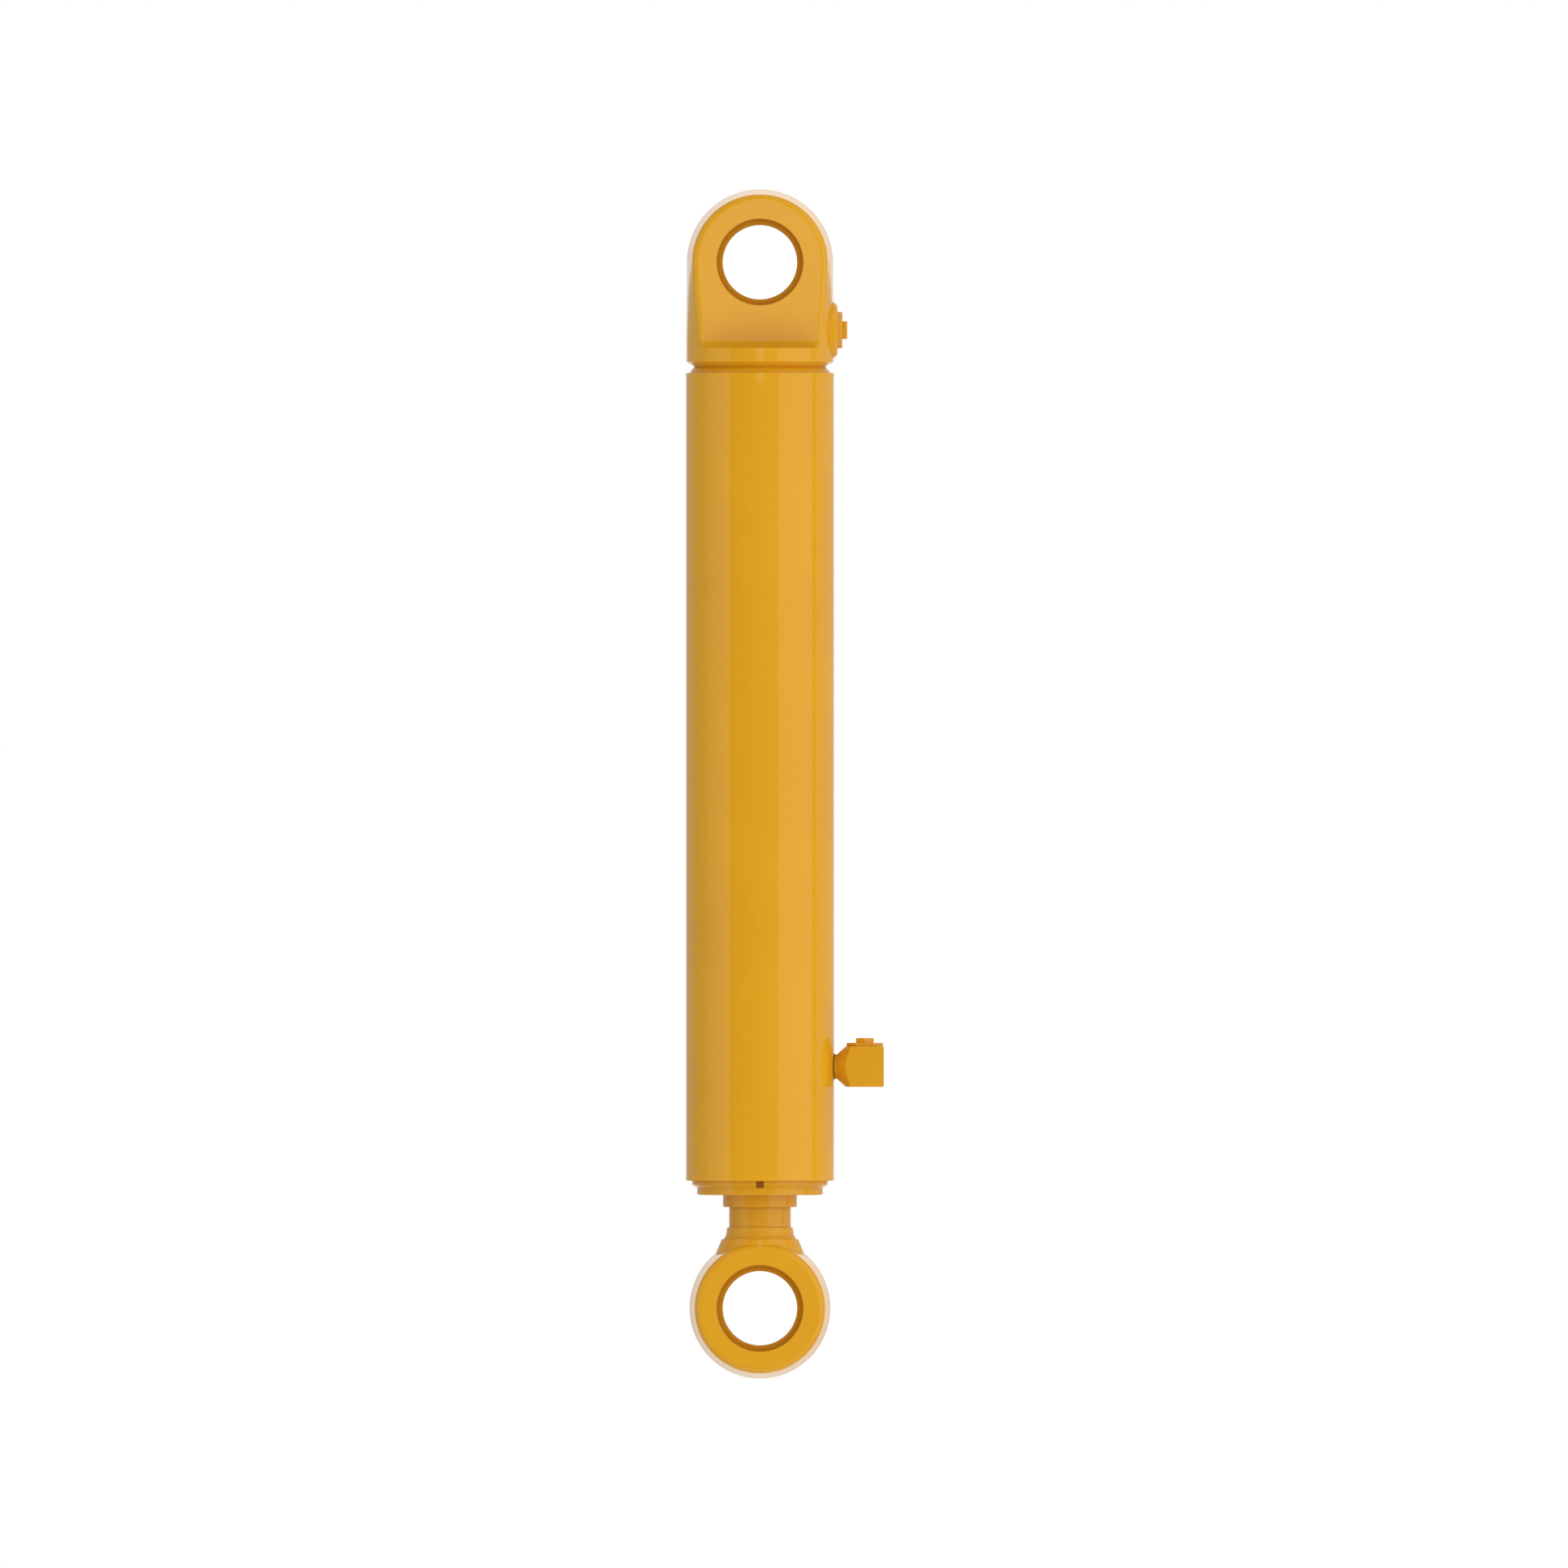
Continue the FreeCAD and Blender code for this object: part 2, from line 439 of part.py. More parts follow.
nut = hexagon(NUT_AF, NUT_H, 30.0, chamfer=2.4, both=True)
nut.translate(V(0, 0, Z_PISTON_TOP))
nut = nut.cut(Part.makeCylinder(STUD_R, NUT_H + 4, V(0, 0, Z_PISTON_TOP - 2), V(0, 0, 1)))
screw_dir = V(1, 0, 0)
z_screw = Z_PISTON_TOP + 16.0
nut = nut.cut(Part.makeCylinder(4.0, 30, V(0, 0, z_screw) + screw_dir * 10, screw_dir))
save("piston_nut", tidy(nut))
screw = Part.makeCylinder(4.0, 8.0, V(0, 0, z_screw) + screw_dir * (STUD_R + 0.1), screw_dir)
key = Part.makeCylinder(2.0, 4.0, V(0, 0, z_screw) + screw_dir * (STUD_R + 5.0), screw_dir)
save("nut_set_screw", tidy(screw.cut(key)))

# rings that ride in the piston's grooves and slide in the tube
save("piston_seal", tidy(tube_z(49.96, 46.35, Z_PISTON_BOT + 23.6, Z_PISTON_BOT + 31.5)))
save("piston_seal_energizer", tidy(ring(44.33, 1.97, Z_PISTON_BOT + 27.55)))
wear = [tube_z(49.95, 47.5, Z_PISTON_BOT + 5.1, Z_PISTON_BOT + 16.9), tube_z(49.95, 47.5, Z_PISTON_TOP - 16.9, Z_PISTON_TOP - 5.1)]
split = []
for side, w in zip((-1, 1), wear):
    split.append(w.cut(Part.makeBox(12, 1.2, 30, V(40 if side > 0 else -52, -0.6, w.BoundBox.ZMin - 5))))
save("piston_wear_rings", Part.makeCompound([s.Solids[0] for s in split]))

# rod eye: drafted disc with a conical neck
eye = eye_disc(ROD_EYE_FACE_R, ROD_EYE_R, EYE_HALF, ROD_EDGE_R, Z_RPIN, 360)
z_cone = -815.0
cone = turn_z([(0, Z_ROD_EYE_TOP), (NECK_TOP_R, Z_ROD_EYE_TOP), (NECK_TOP_R + NECK_SLOPE * (Z_ROD_EYE_TOP - z_cone), z_cone), (0, z_cone)])
cone = cone.common(Part.makeBox(160, 2 * EYE_HALF, 60, V(-80, -EYE_HALF, z_cone)))
# the disc must not rise past the neck's top face
eye = eye.cut(Part.makeBox(160, 160, 40, V(-80, -80, Z_ROD_EYE_TOP)))
eye = eye.fuse(cone).removeSplitter()
eye = eye.cut(cyl_y(BUSH_R, EYE_HALF + 5, Z_RPIN))
for sy in (1, -1):
    w = wire([(0, sy * (EYE_HALF + 1), Z_RPIN), (BUSH_R + 1.6, sy * (EYE_HALF + 1), Z_RPIN),
              (BUSH_R - 0.6, sy * (EYE_HALF - 1.2), Z_RPIN), (0, sy * (EYE_HALF - 1.2), Z_RPIN)])
    eye = eye.cut(Part.Face(w).revolve(V(0, 0, Z_RPIN), V(0, 1, 0), 360))
save("rod_end_eye", tidy(eye))

save("rod_eye_bushing", tidy(Part.Face(wire([
    (PIN_R, BUSH_HALF - 1.0, Z_RPIN), (PIN_R + 1.0, BUSH_HALF, Z_RPIN), (BUSH_R, BUSH_HALF, Z_RPIN),
    (BUSH_R, -BUSH_HALF, Z_RPIN), (PIN_R + 1.0, -BUSH_HALF, Z_RPIN), (PIN_R, -BUSH_HALF + 1.0, Z_RPIN)])).revolve(
        V(0, 0, Z_RPIN), V(0, 1, 0), 360)))

# weld collar between the rod and its eye
save("rod_weld", tidy(turn_z([(ROD_R, -777.9), (26.3, -777.9), (26.7, -778.3), (26.9, -781.8),
                              ("arc", (27.8, -784.6), (29.6, Z_ROD_EYE_TOP)), (ROD_R, Z_ROD_EYE_TOP)])))
print("piston top %.1f, nut top %.1f, stud top %.1f, stroke %.1f" % (Z_PISTON_TOP, Z_NUT_TOP, Z_STUD_TOP, STROKE))
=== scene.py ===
import math
import bpy
import bmesh
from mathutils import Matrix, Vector, noise


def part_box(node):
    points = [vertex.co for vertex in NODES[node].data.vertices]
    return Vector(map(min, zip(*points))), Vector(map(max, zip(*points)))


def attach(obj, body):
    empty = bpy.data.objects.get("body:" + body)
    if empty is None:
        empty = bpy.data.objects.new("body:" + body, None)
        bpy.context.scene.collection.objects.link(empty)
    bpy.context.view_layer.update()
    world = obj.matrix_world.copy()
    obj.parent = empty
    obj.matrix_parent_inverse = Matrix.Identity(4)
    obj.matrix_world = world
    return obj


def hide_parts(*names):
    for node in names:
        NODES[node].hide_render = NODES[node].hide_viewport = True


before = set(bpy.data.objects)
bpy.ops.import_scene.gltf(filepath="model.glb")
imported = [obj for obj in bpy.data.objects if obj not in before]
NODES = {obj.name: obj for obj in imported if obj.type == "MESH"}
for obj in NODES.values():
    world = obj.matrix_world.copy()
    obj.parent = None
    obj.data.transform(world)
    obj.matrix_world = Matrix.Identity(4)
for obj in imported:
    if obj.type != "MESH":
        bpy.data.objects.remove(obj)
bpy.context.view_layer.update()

scene = bpy.context.scene

# ------------------------------------------------------------------ frame facts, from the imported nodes
ROD_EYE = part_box("rod_eye_bushing")
Z_ROD_EYE = (ROD_EYE[0][2] + ROD_EYE[1][2]) / 2
Z_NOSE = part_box("head_gland")[0][2]
Z_ROD_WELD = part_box("rod_weld")[1][2]
Z_CAP_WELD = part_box("cap_weld")[1][2]
Z_ROD_PORT = (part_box("rod_port_elbow")[0][2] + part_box("rod_port_elbow")[1][2]) / 2
Z_TUBE_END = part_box("barrel_tube")[0][2]
GLAND_FLANGE = (Z_TUBE_END - 0.0056, Z_TUBE_END)


# ------------------------------------------------------------------ node helpers
class Tree:
    """A thin wrapper that makes and links shader nodes in few words."""

    def __init__(self, name):
        self.mat = bpy.data.materials.new(name)
        self.mat.use_nodes = True
        self.nt = self.mat.node_tree
        self.nt.nodes.clear()
        self.out = self.nt.nodes.new("ShaderNodeOutputMaterial")
        self.bsdf = self.nt.nodes.new("ShaderNodeBsdfPrincipled")
        self.nt.links.new(self.bsdf.outputs[0], self.out.inputs[0])
        self.co = self.nt.nodes.new("ShaderNodeTexCoord").outputs["Object"]
        self._xyz = None

    def put(self, socket, value):
        if isinstance(value, bpy.types.NodeSocket):
            self.nt.links.new(value, socket)
        elif value is not None:
            if hasattr(socket.default_value, "__len__") and not hasattr(value, "__len__"):
                value = [value] * len(socket.default_value)
            if hasattr(value, "__len__") and len(value) == 3 and len(socket.default_value) == 4:
                value = list(value) + [1.0]
            socket.default_value = value

    def node(self, kind, inputs=None, out=0, **props):
        n = self.nt.nodes.new(kind)
        for k, v in props.items():
            setattr(n, k, v)
        for k, v in (inputs or {}).items():
            self.put(n.inputs[k], v)
        return n.outputs[out]

    def math(self, op, a, b=None, c=None, clamp=False):
        return self.node("ShaderNodeMath", {0: a, 1: b, 2: c}, operation=op, use_clamp=clamp)

    @property
    def xyz(self):
        if self._xyz is None:
            n = self.nt.nodes.new("ShaderNodeSeparateXYZ")
            self.nt.links.new(self.co, n.inputs[0])
            self._xyz = n.outputs
        return self._xyz

    def scaled(self, sx, sy, sz, offset=(0, 0, 0)):
        return self.node("ShaderNodeMapping", {"Vector": self.co, "Scale": (sx, sy, sz), "Location": offset})

    def noise(self, scale, detail=3.0, rough=0.55, vector=None, distortion=0.0):
        return self.node("ShaderNodeTexNoise", {"Vector": vector or self.co, "Scale": scale, "Detail": detail,
                                                "Roughness": rough, "Distortion": distortion})

    def step(self, x, lo, hi):
        """0 below lo, 1 above hi, smooth between."""
        return self.node("ShaderNodeMapRange", {"Value": x, "From Min": lo, "From Max": hi, "To Min": 0.0, "To Max": 1.0},
                         interpolation_type="SMOOTHSTEP", clamp=True)

    def remap(self, x, a, b, c, d):
        return self.node("ShaderNodeMapRange", {"Value": x, "From Min": a, "From Max": b, "To Min": c, "To Max": d}, clamp=True)

    def mix(self, f, a, b):
        n = self.nt.nodes.new("ShaderNodeMix")
        n.data_type = "RGBA"
        self.put(n.inputs[0], f)
        self.put(n.inputs[6], a)
        self.put(n.inputs[7], b)
        return n.outputs[2]

    def mixf(self, f, a, b):
        n = self.nt.nodes.new("ShaderNodeMix")
        n.data_type = "FLOAT"
        self.put(n.inputs[0], f)
        self.put(n.inputs[2], a)
        self.put(n.inputs[3], b)
        return n.outputs[0]

    def bump(self, height, strength, distance, normal=None):
        return self.node("ShaderNodeBump", {"Height": height, "Strength": strength, "Distance": distance, "Normal": normal})

    def set(self, **kw):
        for k, v in kw.items():
            self.put(self.bsdf.inputs[k.replace("_", " ")], v)
        return self.mat


def radius_from(t, axis, z0=0.0):
    """Distance from the Z axis, or from the Y axis moved to height z0."""
    x, y, z = t.xyz[0], t.xyz[1], t.xyz[2]
    if axis == "z":
        return t.math("SQRT", t.math("ADD", t.math("MULTIPLY", x, x), t.math("MULTIPLY", y, y)))
    dz = t.math("SUBTRACT", z, z0)
    return t.math("SQRT", t.math("ADD", t.math("MULTIPLY", x, x), t.math("MULTIPLY", dz, dz)))


YELLOW = (0.850, 0.412, 0.0125)
YELLOW_DEEP = (0.815, 0.386, 0.0105)
YELLOW_PALE = (0.865, 0.428, 0.018)


# Darker yellows for the seal recesses and the bushing end faces inside them: painted shade
PAINTED_SHADE_RECESS = (0.600, 0.235, 0.0050)
PAINTED_SHADE_RECESS_INNER = (0.630, 0.255, 0.0050)


def paint_colour(t, painted_shade_tone=1.0):
    """Enamel: slow drift in film thickness and a fine mottle. A tone below 1 darkens it towards brown: painted shade.
    """
    slow = t.noise(9.0, 2.0, 0.5)
    fine = t.noise(160.0, 4.0, 0.6)
    c = t.mix(t.remap(slow, 0.3, 0.7, 0.0, 1.0), YELLOW_DEEP, YELLOW)
    c = t.mix(t.remap(fine, 0.35, 0.8, 0.0, 0.35), c, YELLOW_PALE)
    if not isinstance(painted_shade_tone, (int, float)) or painted_shade_tone < 1.0:
        # painted shade: pulls the colour towards dark brown by 1 minus the tone
        c = t.mix(t.math("SUBTRACT", 1.0, painted_shade_tone), c, (0.15, 0.05, 0.004))
    return c


def enamel(t, normal, colour=None, rough=(0.05, 0.10)):
    r = t.remap(t.noise(70.0, 4.0, 0.6), 0.3, 0.7, rough[0], rough[1])
    return t.set(Base_Color=colour or paint_colour(t), Roughness=r, Normal=normal, Specular_IOR_Level=0.5)


def mat_tube():
    t = Tree("enamel_drawn_tube")
    draw = t.noise(1.0, 3.0, 0.6, vector=t.scaled(420, 420, 5))
    n = t.bump(draw, 0.012, 0.0003)
    n = t.bump(t.noise(330.0, 2.0, 0.45), 0.015, 0.0005, n)
    return enamel(t, n, rough=(0.03, 0.07))


def mat_forging(name, z_eye):
    """Painted forging: scale texture, a dressed parting line round the eye, faces machined flat."""
    t = Tree(name)
    face = t.step(t.math("ABSOLUTE", t.xyz[1]), 0.0346, 0.0350)
    skin = t.noise(85.0, 6.0, 0.62)
    pits = t.node("ShaderNodeTexVoronoi", {"Vector": t.co, "Scale": 210.0}, out="Distance")
    rough_part = t.math("SUBTRACT", 1.0, t.math("MULTIPLY", face, 0.82))
    h = t.math("MULTIPLY", t.math("ADD", skin, t.math("MULTIPLY", pits, 0.16)), rough_part)
    n = t.bump(h, 0.06, 0.0010)
    # the parting line: a low dressed ridge about 3 mm wide on the plane between the two dies
    wander = t.math("MULTIPLY", t.math("SUBTRACT", t.noise(30.0, 2.0, 0.5), 0.5), 0.0009)
    d = t.math("ABSOLUTE", t.math("ADD", t.xyz[1], wander))
    ridge = t.math("SUBTRACT", 1.0, t.step(d, 0.0006, 0.0022))
    away = t.step(radius_from(t, "y", z_eye), 0.045, 0.050)
    ridge = t.math("MULTIPLY", ridge, away)
    n = t.bump(ridge, 0.35, 0.0006, n)
    n = t.bump(t.noise(330.0, 2.0, 0.45), 0.04, 0.0005, n)
    r = radius_from(t, "y", z_eye)
    # the seal recess is coloured darker: painted shade
    recess_shade = t.math("SUBTRACT", 1.0, t.step(r, 0.0347, 0.0356))
    # the foot of the cap eye's faces, just above the shelf, is darkened: painted shade; the rod eye's paint is darkened
    # slightly all over, also painted shade
    shelf_shade = t.math("MULTIPLY", t.step(t.xyz[2], -0.0694, -0.0690), t.math("SUBTRACT", 1.0, t.step(t.xyz[2], -0.066, -0.030)))
    painted_shade_tone = t.math("SUBTRACT", 1.0, t.math("MULTIPLY", t.math("MULTIPLY", shelf_shade, face), 0.10)) if z_eye == 0.0 else 0.985
    c = t.mix(t.math("MULTIPLY", recess_shade, 0.85), paint_colour(t, painted_shade_tone), PAINTED_SHADE_RECESS)
    return enamel(t, n, c, rough=(0.07, 0.13))


def mat_turned(name, marks=0.05):
    """Painted turned part: faint tool marks round the axis under the paint."""
    t = Tree(name)
    rings = t.noise(1.0, 2.0, 0.5, vector=t.scaled(12, 12, 900))
    n = t.bump(rings, marks, 0.0003)
    n = t.bump(t.noise(330.0, 2.0, 0.45), 0.035, 0.0005, n)
    # the spanner slots' floors are coloured dark brown: painted shade; the rest of the gland's paint is darkened
    # slightly, also painted shade
    slot_shade = t.math("SUBTRACT", 1.0, t.step(radius_from(t, "z"), 0.0496, 0.0502))
    slot_shade = t.math("MULTIPLY", slot_shade, t.step(t.xyz[2], GLAND_FLANGE[0] - 0.0001, GLAND_FLANGE[0]))
    c = t.mix(t.math("MULTIPLY", slot_shade, 0.8), paint_colour(t, 0.91), (0.40, 0.135, 0.010))
    return enamel(t, n, c)


def mat_bar():
    """Painted square bar: milled flats."""
    t = Tree("enamel_square_bar")
    mill = t.noise(1.0, 2.0, 0.5, vector=t.scaled(600, 12, 40))
    n = t.bump(mill, 0.03, 0.0003)
    n = t.bump(t.noise(300.0, 2.0, 0.45), 0.05, 0.0005, n)
    # the paint is darkened slightly: painted shade
    return enamel(t, n, paint_colour(t, 0.93))


def mat_weld(name="enamel_weld", toe=False):
    """Painted bead: spatter and slag skin that the paint doesn't quite level; the paint is darkened slightly as painted
    shade. toe: a thin dark brown line where the bead meets the tube, a painted shadow.
    """
    t = Tree(name)
    n = t.bump(t.noise(420.0, 5.0, 0.65), 0.10, 0.0005)
    c = paint_colour(t, 0.92)
    if toe:
        # painted shadow: dark brown within about a millimetre of the tube's surface
        painted_toe_shadow = t.math("SUBTRACT", 1.0, t.step(radius_from(t, "z"), 0.0604, 0.0612))
        c = t.mix(t.math("MULTIPLY", painted_toe_shadow, 0.95), c, (0.10, 0.036, 0.003))
        return t.set(Base_Color=c, Roughness=t.remap(t.noise(70.0, 4.0, 0.6), 0.3, 0.7, 0.4, 0.55), Normal=n,
                     Specular_IOR_Level=0.06)
    return enamel(t, n, c, rough=(0.12, 0.20))


def mat_hex():
    t = Tree("enamel_hex")
    n = t.bump(t.noise(260.0, 3.0, 0.5), 0.06, 0.0005)
    return enamel(t, n, rough=(0.11, 0.18))


def mat_rod():
    """Hard chrome with the finest polishing lines; the stretch outside the wiper at rest was painted with the rest."""
    t = Tree("chromed_rod")
    lines = t.noise(1.0, 3.0, 0.6, vector=t.scaled(60, 60, 2400))
    smear = t.noise(1.0, 3.0, 0.5, vector=t.scaled(18, 18, 5))
    edge = t.math("MULTIPLY", t.math("SUBTRACT", t.noise(700.0, 3.0, 0.6), 0.5), 0.0008)
    painted = t.math("SUBTRACT", 1.0, t.step(t.math("ADD", t.xyz[2], edge), Z_NOSE + 0.0002, Z_NOSE + 0.0006))
    n = t.bump(lines, 0.03, 0.0001)
    n = t.bump(t.noise(330.0, 2.0, 0.45), t.math("MULTIPLY", painted, 0.07), 0.0006, n)
    chrome = t.mix(t.remap(smear, 0.3, 0.7, 0.0, 1.0), (0.60, 0.61, 0.63), (0.68, 0.685, 0.70))
    rough = t.math("ADD", t.remap(lines, 0.3, 0.7, 0.055, 0.11), t.remap(smear, 0.45, 0.8, 0.0, 0.07))
    # the painted stretch is darkened: painted shade
    return t.set(Base_Color=t.mix(painted, chrome, paint_colour(t, 0.87)), Metallic=t.math("SUBTRACT", 1.0, painted),
                 Roughness=t.mixf(painted, rough, 0.13), Normal=n)


def mat_bushing(name, z_eye):
    """Hardened steel ring: ground, greased bore; end faces carry the overspray of the enamel, coloured dark and darkest
    towards the outer edge as painted shade.
    """
    t = Tree(name)
    r = radius_from(t, "y", z_eye)
    wob = t.math("MULTIPLY", t.math("SUBTRACT", t.noise(260.0, 3.0, 0.6), 0.5), 0.0012)
    painted = t.step(t.math("ADD", t.math("ABSOLUTE", t.xyz[1]), wob), 0.0243, 0.0248)
    hone = t.noise(1.0, 3.0, 0.6, vector=t.scaled(40, 900, 40))
    film = t.noise(55.0, 4.0, 0.55, distortion=0.4)
    steel = t.mix(t.remap(film, 0.35, 0.7, 0.0, 1.0), (0.34, 0.31, 0.27), (0.50, 0.485, 0.46))
    n = t.bump(hone, 0.05, 0.0002)
    n = t.bump(film, 0.10, 0.0006, n)
    # the painted end face is coloured darker towards its outer edge: painted shade
    recess_corner_shade = t.step(r, 0.0302, 0.0338)
    painted_shade_tone = t.mix(recess_corner_shade, PAINTED_SHADE_RECESS_INNER, PAINTED_SHADE_RECESS)
    return t.set(Base_Color=t.mix(painted, steel, painted_shade_tone), Metallic=t.math("SUBTRACT", 1.0, painted),
                 Roughness=t.mixf(painted, t.remap(film, 0.3, 0.7, 0.20, 0.42), 0.40), Normal=n, Specular_IOR_Level=0.08)


def mat_rubber(name, colour):
    t = Tree(name)
    g = t.noise(900.0, 3.0, 0.6)
    c = t.mix(t.remap(t.noise(60.0, 3.0, 0.5), 0.3, 0.7, 0.0, 1.0), colour, [min(1.0, v * 1.6 + 0.004) for v in colour])
    return t.set(Base_Color=c, Roughness=t.remap(g, 0.3, 0.7, 0.42, 0.62), Normal=t.bump(g, 0.12, 0.0002))


def mat_metal(name, dark, light, rough, streak, strength=0.08):
    t = Tree(name)
    s = t.noise(1.0, 3.0, 0.6, vector=t.scaled(*streak))
    b = t.noise(24.0, 4.0, 0.6)
    c = t.mix(t.remap(b, 0.3, 0.7, 0.0, 1.0), dark, light)
    return t.set(Base_Color=c, Metallic=1.0, Roughness=t.remap(s, 0.3, 0.7, rough[0], rough[1]), Normal=t.bump(s, strength, 0.0003))


# ------------------------------------------------------------------ meshes made here
def new_piece(name, verts, faces, smooth=True):
    me = bpy.data.meshes.new(name)
    me.from_pydata([tuple(v) for v in verts], [], faces)
    me.validate()
    me.update()
    for p in me.polygons:
        p.use_smooth = smooth
    o = bpy.data.objects.new(name, me)
    scene.collection.objects.link(o)
    return o


def swept_ring(name, section, count):
    """A closed ring: section(i, angle) gives the corners of its section, in order, as points in space."""
    verts, faces = [], []
    m = None
    for i in range(count):
        pts = section(i, 2 * math.pi * i / count)
        m = len(pts)
        verts += pts
    for i in range(count):
        j = (i + 1) % count
        for k in range(m):
            l = (k + 1) % m
            faces.append((i * m + k, j * m + k, j * m + l, i * m + l))
    o = new_piece(name, verts, faces)
    bm = bmesh.new()
    bm.from_mesh(o.data)
    bmesh.ops.recalc_face_normals(bm, faces=bm.faces)
    bm.to_mesh(o.data)
    bm.free()
    o.data.set_sharp_from_angle(angle=math.radians(50))
    return o


def along(points, rows):
    """rows (r, z) points spaced evenly along a polyline, each with its normal to the left of the way it runs."""
    lengths = [math.dist(a, b) for a, b in zip(points, points[1:])]
    total, found = sum(lengths), []
    for k in range(rows):
        left, n = total * k / (rows - 1), 0
        while n < len(lengths) - 1 and left > lengths[n]:
            left -= lengths[n]
            n += 1
        a, b, f = points[n], points[n + 1], left / lengths[n]
        found.append((a[0] + (b[0] - a[0]) * f, a[1] + (b[1] - a[1]) * f))
    out = []
    for k, (r, z) in enumerate(found):
        a, b = found[max(0, k - 1)], found[min(rows - 1, k + 1)]
        d = math.dist(a, b)
        out.append((r, z, -(b[1] - a[1]) / d, (b[0] - a[0]) / d))
    return out


def bow(a, mid, b, steps=8):
    """Points on a smooth curve from a to b by way of mid."""
    c = [2 * m - (p + q) / 2 for m, p, q in zip(mid, a, b)]
    return [tuple(p * (1 - t) ** 2 + 2 * w * t * (1 - t) + q * t * t for p, w, q in zip(a, c, b))
            for t in [k / steps for k in range(steps + 1)]]


def ripple(s, a, ripples, seed):
    """Height 0 to 1 of a weld's ripples, s of the way across it at angle a: crescents, since the puddle's edges lag its middle."""
    at = Vector((2.2 * math.cos(a), 2.2 * math.sin(a), seed))
    turn = ripples * a / (2 * math.pi) - 1.1 * (1 - (2 * s - 1) ** 2) + 1.3 * noise.noise(at)
    f = turn % 1.0
    return 1 - abs(2 * f - 1) ** 2.4


def weld_bead(name, node, body, face, hidden, ripples, crown, depth, seed, samples=8, rows=13):
    """A weld round Z. face is its section's outer line, hidden its buried corners."""
    line = along(face, rows)

    def section(i, a):
        pts = []
        at = Vector((5.0 * math.cos(a), 5.0 * math.sin(a), seed + 9.0))
        for k, (r, z, nr, nz) in enumerate(line):
            s = k / (rows - 1)
            arch = 1 - (2 * s - 1) ** 2
            lift = crown * arch * (1 + 0.5 * noise.noise(at)) + depth * min(1.0, 3.0 * arch) * ripple(s, a, ripples, seed)
            pts.append((r + lift * nr, z + lift * nz))
        return [(r * math.cos(a), r * math.sin(a), z) for r, z in pts + hidden]

    bead = swept_ring(name, section, ripples * samples)
    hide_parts(node)
    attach(bead, body)
    return bead


def assign(objects, material):
    for o in objects:
        o.data.materials.clear()
        o.data.materials.append(material)


# ------------------------------------------------------------------ materials on the CAD nodes
tube_m = mat_tube()
cap_m = mat_forging("enamel_forging_cap", 0.0)
eye_m = mat_forging("enamel_forging_rod_eye", Z_ROD_EYE)
turned_m = mat_turned("enamel_turned_gland")
bar_m = mat_bar()
weld_m = mat_weld()
hex_m = mat_hex()
rod_m = mat_rod()
bush_cap_m = mat_bushing("bushing_cap_eye", 0.0)
bush_rod_m = mat_bushing("bushing_rod_eye", Z_ROD_EYE)
nitrile_m = mat_rubber("nitrile", (0.012, 0.012, 0.013))
urethane_m = mat_rubber("urethane", (0.055, 0.085, 0.19))
ptfe_m = mat_rubber("filled_ptfe", (0.11, 0.075, 0.05))
nylon_m = mat_rubber("glass_filled_nylon", (0.05, 0.12, 0.09))
iron_m = mat_metal("turned_iron", (0.20, 0.20, 0.205), (0.30, 0.30, 0.305), (0.28, 0.45), (14, 14, 1100))
steel_m = mat_metal("oiled_steel", (0.26, 0.25, 0.25), (0.38, 0.375, 0.37), (0.25, 0.42), (90, 90, 60))
bronze_m = mat_metal("bearing_bronze", (0.50, 0.31, 0.14), (0.62, 0.42, 0.21), (0.25, 0.40), (14, 14, 900))

LOOK = {
    "barrel_tube": tube_m, "cap_end_eye": cap_m, "rod_end_eye": eye_m, "head_gland": turned_m,
    "cap_weld": weld_m, "rod_weld": weld_m, "rod_port_weld": weld_m, "rod_port_elbow": bar_m,
    "cap_port_plug": hex_m, "cap_port_test_plug": hex_m, "rod_port_plug": hex_m, "rod_port_test_plug": hex_m,
    "piston_rod": rod_m, "cap_eye_bushing": bush_cap_m, "rod_eye_bushing": bush_rod_m,
    "piston": iron_m, "piston_nut": steel_m, "nut_set_screw": steel_m, "rod_bearing": bronze_m,
    "rod_u_cup": urethane_m, "rod_wiper": urethane_m, "gland_backup_ring": ptfe_m, "rod_buffer_ring": ptfe_m,
    "piston_seal": ptfe_m, "piston_wear_rings": nylon_m,
}
for name, o in NODES.items():
    assign([o], LOOK.get(name, nitrile_m))

# ------------------------------------------------------------------ weld beads, rippled where the CAD has plain rings
BEADS = [
    weld_bead("cap_weld_bead", "cap_weld", "barrel",
              [(0.0530, Z_CAP_WELD)] + bow((0.05315, Z_CAP_WELD - 0.0003), (0.05475, Z_CAP_WELD - 0.00225),
                                           (0.0567, Z_CAP_WELD - 0.0048)),
              [(0.04995, Z_CAP_WELD - 0.0048), (0.04995, Z_CAP_WELD)], 134, 0.00020, 0.00013, 1.7),
    weld_bead("rod_weld_bead", "rod_weld", "rod",
              [(0.0262, Z_ROD_WELD), (0.0265, Z_ROD_WELD - 0.0004), (0.0267, Z_ROD_WELD - 0.0036)]
              + bow((0.0267, Z_ROD_WELD - 0.0036), (0.0274, Z_ROD_WELD - 0.0064), (0.0290, Z_ROD_WELD - 0.0088))[1:]
              + [(0.0294, Z_ROD_WELD - 0.0095)],
              [(0.0250, Z_ROD_WELD - 0.0095), (0.0250, Z_ROD_WELD)], 66, 0.00015, 0.00012, 5.3, rows=17),
]


